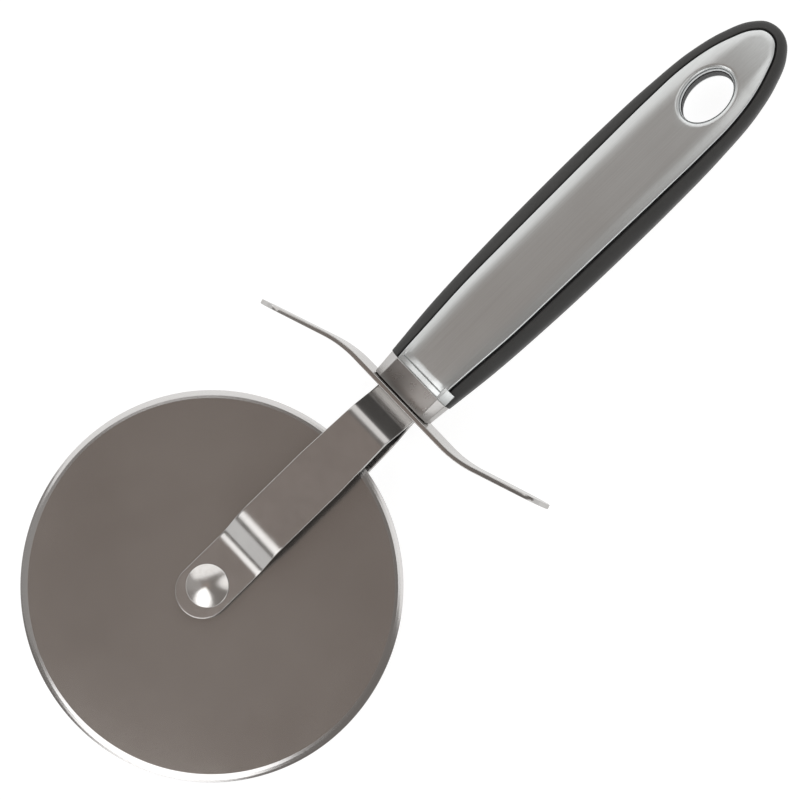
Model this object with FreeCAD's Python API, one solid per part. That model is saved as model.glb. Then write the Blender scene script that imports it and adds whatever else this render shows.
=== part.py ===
import FreeCAD, Part
import math
import os

# Cutting wheel: a flat stainless disc, ground to a bevel on both sides of its rim
wheel_diameter = 100.0
wheel_thickness = 1.2
bevel_width = 2.1
edge_thickness = 0.3
wheel_bore = 8.0

# Axle: a compression rivet in two halves, with a bush in the wheel and a washer on each side
axle_diameter = 5.0
axle_core_diameter = 3.2
rivet_head_diameter = 11.2
rivet_head_edge = 0.5
rivet_head_rise = 1.3
washer_diameter = 13.0
washer_thickness = 0.6
running_clearance = 0.05
side_clearance = 0.1

# Fork arms: two formed straps, measured from the axle and from the mid-plane of the wheel
arm_thickness = 1.5
arm_width = 14.2
neck_width = 13.0
tab_reach = 9.0
joggle_start = 12.7
joggle_run = 6.6
bow_height = 7.0
bow_taper_length = 17.5
neck_joggle_run = 5.0
neck_length = 3.7
arm_reach = 67.6
joggle_bend_radius = 7.0
bow_bend_radius = 7.5
neck_bend_radius = 4.0
tang_width = 9.0
tang_length = 40.0

# Finger guard: one bent strip, with one wing turned to the wheel and the other to the handle
guard_thickness = 1.2
guard_width = 21.0
guard_span = 89.0
guard_tip_width = 16.0
guard_straight = 31.0
guard_bend_at = 20.7
guard_bend_angle = 19.2
guard_bend_radius = 30.0
guard_offset = -1.3
slot_clearance = 0.1

# Ferrule: a short eight-sided collar with a crowned top and bottom, narrower at the guard
ferrule_length = 6.7
ferrule_width = 19.6
ferrule_front_width = 18.4
ferrule_wall_height = 7.4
ferrule_shoulder_width = 14.6
ferrule_shoulder_height = 11.8
ferrule_crown_rise = 0.35
ferrule_edge_radius = 0.5

# Handle outline: a soft rim round the edge, and a steel plate let into each side
handle_length = 125.5
rim_width = 26.8
rim_thickness = 10.0
rim_round = 3.6
rim_side_band = 2.8
rim_tip_band = 2.0
rim_tip_radius = 7.0
tip_turn_degrees = (60.0, 30.0)
rim_station_shares = (0.0, 0.118, 0.261, 0.436, 0.595, 0.738, 0.849, 0.913)
rim_width_shares = (0.770, 0.881, 0.955, 0.995, 0.996, 0.955, 0.854, 0.709)
plate_station_shares = (0.0, 0.080, 0.202, 0.324, 0.446, 0.609, 0.731, 0.828, 0.893, 0.934)
plate_width_shares = (0.770, 0.826, 0.918, 0.946, 0.967, 0.993, 1.0, 0.957, 0.823, 0.664)
plate_thickness = 0.8
plate_edge_radius = 1.0
groove_width = 0.9

# Crown of the plates: a barrel, curved across the handle and slightly along it
crown_height = 14.4
crown_radius = 32.0
crown_sweep_radius = 2660.0
crown_centre = 50.0

# Pressed step at the ferrule end of each plate, and the tab that laps the rim beside it
step_ledge_drop = 1.3
step_crease_drop = 0.9
step_crease_at = 1.65
step_top_at = 3.4
tab_length = 3.4

# Handle core: the moulded carrier between the plates, slotted for the tangs
core_slab_thickness = 7.0
seat_clearance = 0.1
pin_diameter = 3.0
pin_length = 8.4
pin_first_at = 9.0
pin_last_back = 7.8

# Hang hole: an oval through the handle, with the plates drawn into it
hole_length = 15.4
hole_width = 10.6
hole_from_end = 24.7
hole_lip_radius = 1.2
hole_lip_wall_share = 0.3
core_hole_inset = 0.2

# One overrun for every cut
overrun = 1.0

# Places that follow from the sizes above
wheel_radius = wheel_diameter / 2
tab_inner = wheel_thickness / 2 + side_clearance + washer_thickness
tab_outer = tab_inner + arm_thickness
joggle_end = joggle_start + joggle_run
neck_start = arm_reach - neck_length
bow_end = neck_start - neck_joggle_run
bow_taper_start = bow_end - bow_taper_length
guard_front = arm_reach
ferrule_start = guard_front + guard_thickness
handle_start = ferrule_start + ferrule_length
handle_end = handle_start + handle_length
plate_length = handle_length - rim_tip_band - groove_width
plate_width = rim_width - 2 * (rim_side_band + groove_width)
plate_tip_radius = rim_tip_radius - rim_tip_band - groove_width
hole_centre = handle_end - hole_from_end
tang_end = arm_reach + tang_length
slab_top = core_slab_thickness / 2
crown_top = crown_height / 2
crown_axis = crown_top - crown_radius
overall_middle = (handle_end - wheel_radius) / 2
mid_plane_height = guard_width / 2

ORIGIN = FreeCAD.Vector(0, 0, 0)
ALONG = FreeCAD.Vector(1, 0, 0)
UP = FreeCAD.Vector(0, 0, 1)


def point(x, y, z):
    return FreeCAD.Vector(x, y, z)


def box(x0, x1, y0, y1, z0, z1):
    return Part.makeBox(x1 - x0, y1 - y0, z1 - z0, point(x0, y0, z0))


def upright(radius, z0, z1, x=0.0):
    return Part.makeCylinder(radius, z1 - z0, point(x, 0, z0))


def turned(profile):
    """A solid of revolution about the axle from a closed profile of (radius, height) pairs."""
    corners = [point(radius, 0, height) for radius, height in profile]
    return Part.Face(Part.makePolygon(corners + corners[:1])).revolve(ORIGIN, UP, 360)


def mirrored(shape):
    """The same shape on the other side of the mid-plane."""
    return shape.mirror(ORIGIN, UP)


def strap(line, thickness):
    """A strip's closed outline: a line of (u, v) corners and its mitred copy on the left side."""
    directions = []
    for (u0, v0), (u1, v1) in zip(line, line[1:]):
        directions.append(math.atan2(v1 - v0, u1 - u0))
    copy = []
    for index, (u, v) in enumerate(line):
        before = directions[max(index - 1, 0)]
        after = directions[min(index, len(directions) - 1)]
        mitre = thickness / math.cos((after - before) / 2)
        normal = (before + after) / 2 + math.pi / 2
        copy.append((u + mitre * math.cos(normal), v + mitre * math.sin(normal)))
    return copy


def bent(solid, corners, radii, axis):
    """Rounds each bend of a strip: the edges that run along the axis through the given corners."""
    for corner, radius in zip(corners, radii):
        for edge in solid.Edges:
            ends = [vertex.Point for vertex in edge.Vertexes]
            offsets = [(end - corner).cross(axis).Length for end in ends]
            if len(ends) > 1 and max(offsets) < seat_clearance:
                solid = solid.makeFillet(radius, [edge])
                break
    return solid


def cutting_wheel():
    half = wheel_thickness / 2
    edge = edge_thickness / 2
    bore = wheel_bore / 2
    shoulder = wheel_radius - bevel_width
    return turned([(bore, -half), (shoulder, -half), (wheel_radius, -edge),
                   (wheel_radius, edge), (shoulder, half), (bore, half)])


def wheel_bush():
    inner = axle_diameter / 2 + running_clearance
    outer = wheel_bore / 2
    half = wheel_thickness / 2
    return turned([(inner, -half), (outer, -half), (outer, half), (inner, half)])


def washer():
    inner = axle_diameter / 2 + running_clearance
    outer = washer_diameter / 2
    low = wheel_thickness / 2 + side_clearance
    return turned([(inner, low), (outer, low), (outer, tab_inner), (inner, tab_inner)])


def rivet_head():
    """A low domed head, seated on the outer face of an arm's tab."""
    radius = rivet_head_diameter / 2
    edge = tab_outer + rivet_head_edge
    sphere = (radius ** 2 + rivet_head_rise ** 2) / (2 * rivet_head_rise)
    ball = Part.makeSphere(sphere, point(0, 0, edge + rivet_head_rise - sphere))
    return ball.common(upright(radius, tab_outer, edge + rivet_head_rise + overrun))


def axle_rivet():
    """The front half: a head with a solid shank that is pressed into the rear half."""
    shank = upright(axle_core_diameter / 2, -tab_outer, tab_outer + rivet_head_edge)
    return rivet_head().fuse(shank).removeSplitter()


def axle_rivet_socket():
    """The rear half: a head with a hollow shank, on which the wheel's bush turns."""
    shank = upright(axle_diameter / 2, -tab_outer - rivet_head_edge, tab_outer)
    socket = upright(axle_core_diameter / 2, -tab_outer, tab_outer + overrun)
    return mirrored(rivet_head()).fuse(shank).cut(socket).removeSplitter()


def front_arm():
    """One strap: round tab, joggle out, bow over the wheel, joggle in, neck and tang."""
    line = [(-tab_reach, tab_inner), (joggle_start, tab_inner),
            (joggle_end, bow_height - arm_thickness), (bow_end, bow_height - arm_thickness),
            (neck_start, 0), (tang_end, 0)]
    back = strap(line, arm_thickness)
    half = arm_width / 2
    ring = [point(x, -half, z) for x, z in line + back[::-1]]
    solid = Part.Face(Part.makePolygon(ring + ring[:1])).extrude(point(0, arm_width, 0))
    joggle_wide = joggle_bend_radius + arm_thickness
    bow_wide = bow_bend_radius + arm_thickness
    neck_wide = neck_bend_radius + arm_thickness
    across = point(0, 1, 0)
    under = [point(x, 0, z) for x, z in line[1:-1]]
    over = [point(x, 0, z) for x, z in back[1:-1]]
    solid = bent(solid, under, (joggle_wide, joggle_bend_radius, bow_bend_radius, neck_wide), across)
    solid = bent(solid, over, (joggle_bend_radius, joggle_wide, bow_wide, neck_bend_radius), across)
    blank = arm_blank()
    holes = upright(axle_diameter / 2 + running_clearance, 0, bow_height)
    for pin_x in pin_places():
        holes = holes.fuse(upright(pin_diameter / 2 + running_clearance, -overrun, bow_height, pin_x))
    return solid.common(blank).cut(holes)


def arm_blank():
    """The strap seen from above: a round end, a slight taper, shoulders at the guard, a tang."""
    half = arm_width / 2
    neck = neck_width / 2
    tang = tang_width / 2
    round_centre = half - tab_reach
    side = [(round_centre, half), (bow_taper_start, half), (bow_end, neck), (arm_reach, neck),
            (arm_reach, tang), (tang_end, tang)]
    right = [point(x, -y, 0) for x, y in side]
    left = [point(x, y, 0) for x, y in reversed(side)]
    edges = [Part.makeLine(a, b) for a, b in zip(right + left, (right + left)[1:])]
    nose = Part.Arc(left[-1], point(-tab_reach, 0, 0), right[0]).toShape()
    face = Part.Face(Part.Wire(edges + [nose]))
    return face.extrude(point(0, 0, bow_height + overrun))


def pin_places():
    return [handle_start + pin_first_at, tang_end - pin_last_back]


def tang_passage(x0, x1):
    """The slot through which both tangs pass."""
    half = tang_width / 2 + slot_clearance
    height = arm_thickness + slot_clearance
    return box(x0, x1, -half, half, -height, height)


def finger_guard():
    """A strip bent to a flat S, tapered to round tips and slotted for the tangs."""
    turn = math.radians(guard_bend_angle)
    reach = guard_span / 2
    lean = (reach + overrun - guard_bend_at) * math.tan(turn)
    line = [(guard_front + lean, guard_offset - reach - overrun),
            (guard_front, guard_offset - guard_bend_at),
            (guard_front, guard_offset + guard_bend_at),
            (guard_front - lean, guard_offset + reach + overrun)]
    back = strap(line, -guard_thickness)
    half = guard_width / 2
    ring = [point(x, y, -half) for x, y in line + back[::-1]]
    solid = Part.Face(Part.makePolygon(ring + ring[:1])).extrude(point(0, 0, guard_width))
    wide = guard_bend_radius + guard_thickness
    inside = [point(x, y, 0) for x, y in line[1:-1]]
    outside = [point(x, y, 0) for x, y in back[1:-1]]
    solid = bent(solid, inside, (wide, guard_bend_radius), UP)
    solid = bent(solid, outside, (guard_bend_radius, wide), UP)
    slot = tang_passage(guard_front - overrun, guard_front + guard_thickness + overrun)
    return solid.common(guard_blank(lean)).cut(slot)


def guard_blank(lean):
    """The strip seen along the handle: straight in the middle, tapered, with round tips."""
    half = guard_width / 2
    straight = guard_straight / 2
    tip = guard_tip_width / 2
    reach = guard_span / 2
    x = guard_front - lean - guard_thickness - overrun
    top = [(-reach + tip, tip), (-straight, half), (straight, half), (reach - tip, tip)]
    upper = [point(x, guard_offset + y, z) for y, z in top]
    lower = [point(place.x, place.y, -place.z) for place in reversed(upper)]
    ends = [point(x, guard_offset + y, 0) for y in (reach, -reach)]
    edges = [Part.makeLine(a, b) for side in (upper, lower) for a, b in zip(side, side[1:])]
    edges.insert(len(upper) - 1, Part.Arc(upper[-1], ends[0], lower[0]).toShape())
    edges.append(Part.Arc(lower[-1], ends[1], upper[0]).toShape())
    return Part.Face(Part.Wire(edges)).extrude(ALONG * (lean + guard_thickness + overrun) * 2)


def ferrule_section(x0, width):
    """The collar's outline: side walls, slanted shoulders, and a crown on top and bottom."""
    wall_y = width / 2
    wall_z = ferrule_wall_height / 2
    shoulder_y = ferrule_shoulder_width / 2
    shoulder_z = ferrule_shoulder_height / 2
    crown_z = shoulder_z + ferrule_crown_rise
    right = [point(x0, -shoulder_y, -shoulder_z), point(x0, -wall_y, -wall_z),
             point(x0, -wall_y, wall_z), point(x0, -shoulder_y, shoulder_z)]
    left = [point(x0, -corner.y, corner.z) for corner in reversed(right)]
    edges = [Part.makeLine(a, b) for side in (right, left) for a, b in zip(side, side[1:])]
    edges.insert(len(right) - 1, Part.Arc(right[-1], point(x0, 0, crown_z), left[0]).toShape())
    edges.append(Part.Arc(left[-1], point(x0, 0, -crown_z), right[0]).toShape())
    return Part.Wire(edges)


def ferrule():
    front = ferrule_section(ferrule_start, ferrule_front_width)
    collar = Part.makeLoft([front, ferrule_section(handle_start, ferrule_width)], True, True)
    lengthwise = [edge for edge in collar.Edges if edge.BoundBox.XLength > ferrule_length / 2]
    collar = collar.makeFillet(ferrule_edge_radius, lengthwise)
    return collar.cut(tang_passage(ferrule_start - overrun, handle_start + overrun))


def outline(length, width, tip_radius, station_shares, width_shares, growth):
    """A handle outline seen from above: smooth sides and a round tip, closed at the ferrule."""
    left = []
    for station, share in zip(station_shares, width_shares):
        left.append(point(handle_start + length * station, width / 2 * share + growth, 0))
    tip_centre = handle_start + length - tip_radius
    reach = tip_radius + growth
    for turn in tip_turn_degrees:
        angle = math.radians(turn)
        left.append(point(tip_centre + reach * math.cos(angle), reach * math.sin(angle), 0))
    right = [point(place.x, -place.y, 0) for place in left]
    tip = point(tip_centre + reach, 0, 0)
    curve = Part.BSplineCurve()
    curve.interpolate(right + [tip] + left[::-1])
    sides = [span.toShape() for span in curve.toBezier()]
    return Part.Wire(sides + [Part.makeLine(left[0], right[0])])


def plate_outline(growth):
    return outline(plate_length, plate_width, plate_tip_radius, plate_station_shares,
                   plate_width_shares, growth)


def rim_outline():
    return outline(handle_length, rim_width, rim_tip_radius, rim_station_shares,
                   rim_width_shares, 0.0)


def upright_prism(wire, z0, z1):
    prism = Part.Face(wire).extrude(UP * (z1 - z0))
    prism.translate(UP * z0)
    return prism


def barrel(depth):
    """The crowned space of the handle, its surface a given depth below the outside."""
    x0 = handle_start - overrun
    x1 = handle_end + overrun
    x_top = handle_start + crown_centre
    top = crown_top - depth

    def height(x):
        return top - crown_sweep_radius + math.sqrt(crown_sweep_radius ** 2 - (x - x_top) ** 2)

    corners = [point(x1, 0, height(x1)), point(x1, 0, crown_axis), point(x0, 0, crown_axis),
               point(x0, 0, height(x0))]
    edges = [Part.makeLine(a, b) for a, b in zip(corners, corners[1:])]
    edges.append(Part.Arc(corners[-1], point(x_top, 0, top), corners[0]).toShape())
    return Part.Face(Part.Wire(edges)).revolve(point(0, 0, crown_axis), ALONG, 360)


def hole_prism(growth, z0, z1):
    """The hang hole's oval, grown or shrunk all round."""
    oval = Part.Ellipse(ORIGIN, hole_length / 2 + growth, hole_width / 2 + growth)
    prism = upright_prism(Part.Wire(oval.toShape()), z0, z1)
    prism.translate(ALONG * hole_centre)
    return prism


def step_cutter(depth):
    """What the press takes off the plate's end: a sloping ledge, a crease and a rise."""
    half = plate_width
    x0 = handle_start - overrun
    ledge = crown_top - step_ledge_drop - depth
    crease = crown_top - step_crease_drop - depth
    crease_x = handle_start + step_crease_at
    top_x = handle_start + step_top_at
    ring = [point(x0, -half, ledge), point(handle_start, -half, ledge),
            point(crease_x, -half, crease), point(top_x, -half, crown_top),
            point(top_x, -half, crown_top + overrun), point(x0, -half, crown_top + overrun)]
    return Part.Face(Part.makePolygon(ring + ring[:1])).extrude(point(0, half * 2, 0))


def rounded_rim(solid, wall, radius, z_low):
    """Rounds the upper edges that follow a wall's outline along the handle, above a given height."""
    chosen = []
    for edge in solid.Edges:
        middle = edge.valueAt((edge.FirstParameter + edge.LastParameter) / 2)
        flat = point(middle.x, middle.y, 0)
        lengthwise = edge.BoundBox.ZMin > z_low and edge.BoundBox.XLength > seat_clearance
        if lengthwise and wall.distToShape(Part.Vertex(flat))[0] < seat_clearance:
            chosen.append(edge)
    return solid.makeFillet(radius, chosen)


def plate_tab():
    """A short ear on one side of the plate, which carries the ferrule's shoulder past the rim."""
    bar = Part.Face(ferrule_section(handle_start, ferrule_width)).extrude(ALONG * tab_length)
    inner = -plate_width_shares[0] * plate_width / 2
    return bar.common(box(handle_start, handle_start + tab_length,
                          -ferrule_width / 2 + seat_clearance, inner, slab_top, crown_top))


def front_plate():
    """A pressed pan: crowned face, turned-down skirt, drawn hole collar and a step at its end."""
    wall = plate_outline(0.0)
    top = crown_top + overrun
    form = upright_prism(wall, slab_top, top).common(barrel(0.0))
    form = rounded_rim(form, wall, plate_edge_radius, slab_top + plate_edge_radius)
    form = form.cut(hole_prism(0.0, slab_top - overrun, top))
    eye = Part.Wire(Part.Ellipse(ORIGIN, hole_length / 2, hole_width / 2).toShape())
    eye.translate(ALONG * hole_centre)
    lip = min(hole_lip_radius, (plate_width - hole_width) / 2 * hole_lip_wall_share)
    form = rounded_rim(form, eye, lip, slab_top + lip)
    form = form.cut(step_cutter(0.0))
    return form.cut(pad(plate_thickness, slab_top - overrun)).fuse(plate_tab()).removeSplitter()


def pad(depth, z_low):
    """The space under a plate, a given depth inside its skin and clear of its hole collar."""
    top = crown_top + overrun
    form = upright_prism(plate_outline(-depth), z_low, top).common(barrel(depth))
    form = form.cut(step_cutter(depth))
    form = form.cut(box(handle_start - overrun, handle_start + depth, -plate_width, plate_width,
                        z_low - overrun, top))
    return form.cut(hole_prism(depth, z_low - overrun, top))


def handle_core():
    """The moulded carrier: a slab with a raised pad under each plate, slotted and drilled."""
    slab = upright_prism(plate_outline(groove_width), -slab_top, slab_top)
    raised = pad(plate_thickness + seat_clearance, slab_top)
    core = slab.fuse(raised).fuse(mirrored(raised))
    core = core.cut(hole_prism(-core_hole_inset, -crown_top, crown_top))
    core = core.cut(tang_passage(handle_start - overrun, tang_end + slot_clearance))
    for pin_x in pin_places():
        core = core.cut(upright(pin_diameter / 2 + running_clearance, -crown_top, crown_top, pin_x))
    return core.removeSplitter()


def grip_rim():
    """The soft band round the handle's edge, open at the ferrule, with rounded outer edges."""
    half = rim_thickness / 2
    wall = rim_outline()
    band = upright_prism(wall, -half, half)
    outer = [edge for edge in band.Edges
             if edge.BoundBox.ZLength < seat_clearance < edge.BoundBox.XLength]
    band = band.makeFillet(rim_round, outer)
    band = band.cut(upright_prism(plate_outline(groove_width), -half - overrun, half + overrun))
    ear = plate_tab()
    return band.cut(ear).cut(mirrored(ear))


def tang_pins():
    """Two plain pins that lock both tangs in the core."""
    half = pin_length / 2
    return Part.makeCompound([upright(pin_diameter / 2, -half, half, x) for x in pin_places()])


def export(node, shape):
    """Writes one piece in the part's frame: the middle of its length, on the resting plane."""
    placed = shape.copy()
    placed.translate(point(-overall_middle, 0, mid_plane_height))
    placed.exportStep("parts/" + node + ".step")


os.makedirs("parts", exist_ok=True)
arm = front_arm()
plate = front_plate()
spacer = washer()
export("cutting_wheel", cutting_wheel())
export("wheel_bush", wheel_bush())
export("front_washer", spacer)
export("rear_washer", mirrored(spacer))
export("axle_rivet", axle_rivet())
export("axle_rivet_socket", axle_rivet_socket())
export("front_arm", arm)
export("rear_arm", mirrored(arm))
export("finger_guard", finger_guard())
export("ferrule", ferrule())
export("handle_core", handle_core())
export("grip_rim", grip_rim())
export("front_plate", plate)
export("rear_plate", mirrored(plate))
export("tang_pins", tang_pins())
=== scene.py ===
import math

import bmesh
import bpy
import numpy as np
from mathutils import Matrix, Vector


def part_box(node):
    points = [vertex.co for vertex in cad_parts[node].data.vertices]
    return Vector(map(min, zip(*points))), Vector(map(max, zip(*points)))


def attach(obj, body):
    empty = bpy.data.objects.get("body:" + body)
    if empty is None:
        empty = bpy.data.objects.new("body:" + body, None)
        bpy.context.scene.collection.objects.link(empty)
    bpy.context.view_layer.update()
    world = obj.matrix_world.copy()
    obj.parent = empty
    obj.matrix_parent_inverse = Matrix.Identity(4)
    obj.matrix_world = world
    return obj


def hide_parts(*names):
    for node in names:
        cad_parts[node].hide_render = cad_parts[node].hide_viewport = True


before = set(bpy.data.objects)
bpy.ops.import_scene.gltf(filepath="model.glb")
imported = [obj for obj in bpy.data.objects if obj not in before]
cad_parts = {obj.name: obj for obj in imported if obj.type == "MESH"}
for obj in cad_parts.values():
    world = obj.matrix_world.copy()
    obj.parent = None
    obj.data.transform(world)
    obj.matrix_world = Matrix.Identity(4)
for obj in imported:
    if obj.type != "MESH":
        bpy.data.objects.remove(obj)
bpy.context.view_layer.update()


# Cutting wheel
# A stainless disc blanked from sheet, polished to a soft satin and ground on both sides of its rim.
# The bevel is ground in three passes, each a little steeper, which leaves fine rings round the edge.
wheel_low, wheel_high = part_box("cutting_wheel")
axle = (wheel_low + wheel_high) / 2
wheel_radius = (wheel_high.x - wheel_low.x) / 2
wheel_half = (wheel_high.z - wheel_low.z) / 2
bore_radius = 0.004
bevel_passes = ((0.0008, 8.0), (0.0007, 14.0), (0.0006, 18.0))
bevel_width = sum(width for width, slope in bevel_passes)
wheel_ease = 0.00003
smooth_turn = math.radians(3.0)
wheel_steps = 360
weld_distance = 0.0000005
face_colour = (0.385, 0.364, 0.345, 1.0)
face_stain_colour = (0.350, 0.328, 0.310, 1.0)
face_metal = 0.8
face_roughness = 0.17
bevel_colour = (0.585, 0.58, 0.575, 1.0)
bevel_roughness = 0.15
bevel_ring_pitch = 0.00024
blade_grain_depth = 0.0000009
patch_low = 0.3
patch_high = 0.7


class Signal:
    """One socket of a node tree. Arithmetic on it adds Math nodes, and node() adds any other node."""

    def __init__(self, tree, socket=None):
        self.tree = tree
        self.socket = socket

    def node(self, kind, inputs=None, output=0, **settings):
        made = self.tree.nodes.new(kind)
        for name, value in settings.items():
            setattr(made, name, value)
        for name, value in (inputs or {}).items():
            if isinstance(value, Signal):
                self.tree.links.new(value.socket, made.inputs[name])
            else:
                made.inputs[name].default_value = value
        if isinstance(output, tuple):
            return [Signal(self.tree, made.outputs[name]) for name in output]
        return Signal(self.tree, made.outputs[output])

    def maths(self, operation, first, second=0.0):
        return self.node("ShaderNodeMath", {0: first, 1: second}, operation=operation)

    def vector(self, operation, *others, output="Vector"):
        inputs = dict(enumerate((self, *others)))
        return self.node("ShaderNodeVectorMath", inputs, output, operation=operation)

    def axes(self, *names):
        return self.node("ShaderNodeSeparateXYZ", {0: self}, names)

    def __add__(self, other):
        return self.maths("ADD", self, other)

    def __radd__(self, other):
        return self.maths("ADD", other, self)

    def __sub__(self, other):
        return self.maths("SUBTRACT", self, other)

    def __rsub__(self, other):
        return self.maths("SUBTRACT", other, self)

    def __mul__(self, other):
        return self.maths("MULTIPLY", self, other)

    def __rmul__(self, other):
        return self.maths("MULTIPLY", other, self)

    def __truediv__(self, other):
        return self.maths("DIVIDE", self, other)

    def __rtruediv__(self, other):
        return self.maths("DIVIDE", other, self)

    def rise(self, start, end):
        """0 below start, 1 above end, and a smooth climb between."""
        limits = {"Value": self, "From Min": start, "From Max": end}
        return self.node("ShaderNodeMapRange", limits, interpolation_type="SMOOTHSTEP")

    def noise(self, scale=1.0, detail=2.0):
        """Soft patches, about as many to the metre as the scale says."""
        return self.node("ShaderNodeTexNoise", {"Vector": self, "Scale": scale, "Detail": detail})

    def stretched(self, scale):
        """A place with its axes scaled, which draws a pattern out along one of them."""
        return self.node("ShaderNodeMapping", {"Vector": self, "Scale": scale})

    def mix(self, first, second):
        return self.node("ShaderNodeMix", {0: self, 6: first, 7: second}, 2, data_type="RGBA")

    def bump(self, depth):
        """A normal from a height of 0 to 1 that stands for a depth in metres."""
        return self.node("ShaderNodeBump", {"Height": self, "Distance": depth, "Strength": 1.0})


def finish(name, constants):
    """A material with its constant sockets set, and the place on the piece that its patterns read."""
    material = bpy.data.materials.new(name)
    material.use_nodes = True
    shader = material.node_tree.nodes["Principled BSDF"]
    for socket, value in constants.items():
        shader.inputs[socket].default_value = value
    place = Signal(material.node_tree).node("ShaderNodeTexCoord", output="Object")
    return material, place


def feed(material, **signals):
    """Links what changes over the surface to the shader, by socket name."""
    shader = material.node_tree.nodes["Principled BSDF"]
    for socket, signal in signals.items():
        material.node_tree.links.new(signal.socket, shader.inputs[socket.replace("_", " ")])


def clean_patches(cloud, stain, finer_share):
    """1 where the steel is clean and 0 where it is stained, in broad clouds with a share of finer ones."""
    broad = cloud.rise(patch_low, patch_high) * (1 - finer_share)
    return broad + stain.rise(patch_low, patch_high) * finer_share


def blade_steel():
    """A satin face with soft clouds and hairline scuffs, and a brighter bevel with fine grinding rings."""
    material, place = finish("blade_steel", {})
    flat = place.vector("SUBTRACT", axle).vector("MULTIPLY", (1, 1, 0))
    radius = flat.vector("LENGTH", output="Value")
    bevel = radius.rise(wheel_radius - bevel_width - wheel_ease, wheel_radius - bevel_width)
    cloud = place.noise(30.0)
    stain = place.noise(130.0, 3.0)
    grain = place.noise(6000.0)
    scuff = place.stretched((2200.0, 90.0, 1.0)).noise()
    ring = radius.maths("SINE", radius * (math.tau / bevel_ring_pitch))
    face = clean_patches(cloud, stain, 0.15).mix(face_stain_colour, face_colour)
    height = grain * 0.4 + scuff * 0.3 + bevel * ring * 0.8
    feed(material, Base_Color=bevel.mix(face, bevel_colour), Metallic=face_metal + bevel * (1 - face_metal),
         Roughness=face_roughness + (stain - 0.5) * 0.04 - bevel * (face_roughness - bevel_roughness),
         Normal=height.bump(blade_grain_depth))
    return material


def eased(profile, ease, closed):
    """A profile whose corners are cut by a hair, with a second point beside each to hold the flats.

    Where it turns only slightly, as on a dome, it stays as it is.
    """
    count = len(profile)
    points = []
    for index, corner in enumerate(profile):
        here = Vector(corner)
        if not closed and index in (0, count - 1):
            points.append(here)
            continue
        before = Vector(profile[index - 1])
        after = Vector(profile[(index + 1) % count])
        if (here - before).angle(after - here) < smooth_turn:
            points.append(here)
            continue
        for share in (2 * ease, ease):
            points.append(here + (before - here).normalized() * share)
        for share in (ease, 2 * ease):
            points.append(here + (after - here).normalized() * share)
    return points + points[:1] if closed else points


def node_group(name, sizes):
    """An empty node tree for a mesh, with its named inputs, and a signal for each input."""
    tree = bpy.data.node_groups.new(name, "GeometryNodeTree")
    for label, kind in sizes.items():
        tree.interface.new_socket(label, in_out="INPUT", socket_type="NodeSocket" + kind)
    tree.interface.new_socket("Piece", in_out="OUTPUT", socket_type="NodeSocketGeometry")
    start = tree.nodes.new("NodeGroupInput")
    return tree, {label: Signal(tree, start.outputs[label]) for label in sizes}


def group_end(tree, mesh, material):
    """Closes seams and poles, smooths the shading, and ends the tree in plain mesh with a material."""
    weld = mesh.node("GeometryNodeMergeByDistance", {"Geometry": mesh, "Distance": weld_distance})
    smooth = weld.node("GeometryNodeSetShadeSmooth", {"Geometry": weld})
    real = smooth.node("GeometryNodeRealizeInstances", {"Geometry": smooth})
    painted = real.node("GeometryNodeSetMaterial", {"Geometry": real, "Material": material})
    end = tree.nodes.new("NodeGroupOutput")
    tree.links.new(painted.socket, end.inputs["Piece"])


def section_grid(given, steps):
    """A grid with a row per step and a column per section point.

    Gives its mesh, each row's share of the way, and the section's first and third coordinates.
    """
    section = given["Section"]
    counts = section.node("GeometryNodeAttributeDomainSize", {"Geometry": section}, "Point Count")
    columns = {"Vertices X": steps + 1, "Vertices Y": counts}
    grid = section.node("GeometryNodeMeshGrid", columns, "Mesh")
    index = grid.node("GeometryNodeInputIndex")
    row = index.maths("FLOOR", (index + 0.5) / counts)
    place = index.node("GeometryNodeInputPosition")
    wanted = {"Geometry": section, "Value": place, "Index": index - row * counts}
    point = section.node("GeometryNodeSampleIndex", wanted, data_type="FLOAT_VECTOR")
    return grid, row / steps, point.axes("X", "Z")


def turning_tree():
    """A section of (radius, 0, height) points, turned once round an upright axis."""
    tree, given = node_group("turned_piece", {"Section": "Geometry", "Steps": "Int", "Axis": "Vector",
                                              "Material": "Material"})
    grid, share, (radius, height) = section_grid(given, given["Steps"])
    turn = share * math.tau
    east = radius * turn.maths("COSINE", turn)
    north = radius * turn.maths("SINE", turn)
    arm = turn.node("ShaderNodeCombineXYZ", {0: east, 1: north, 2: height})
    place = arm.vector("ADD", given["Axis"])
    mesh = grid.node("GeometryNodeSetPosition", {"Geometry": grid, "Position": place})
    group_end(tree, mesh, given["Material"])
    return tree


def grown(name, tree, section, values):
    """Runs a node tree on a section's points and keeps its result as a plain mesh object."""
    base = bpy.data.meshes.new(name)
    base.from_pydata(section, [(index, index + 1) for index in range(len(section) - 1)], [])
    piece = bpy.data.objects.new(name, base)
    bpy.context.scene.collection.objects.link(piece)
    modifier = piece.modifiers.new("form", "NODES")
    modifier.node_group = tree
    for item in tree.interface.items_tree:
        if item.in_out == "INPUT" and item.name in values:
            modifier[item.identifier] = values[item.name]
    ready = piece.evaluated_get(bpy.context.evaluated_depsgraph_get())
    mesh = bpy.data.meshes.new_from_object(ready)
    piece.modifiers.clear()
    piece.data = mesh
    return piece


turning = turning_tree()


def turned(name, profile, ease, closed, material):
    """A turned piece on the axle from (radius, height) pairs, anticlockwise, outside going up."""
    section = [(place.x, 0.0, place.y) for place in eased(profile, ease, closed)]
    return grown(name, turning, section, {"Steps": wheel_steps, "Axis": axle, "Material": material})


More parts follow.
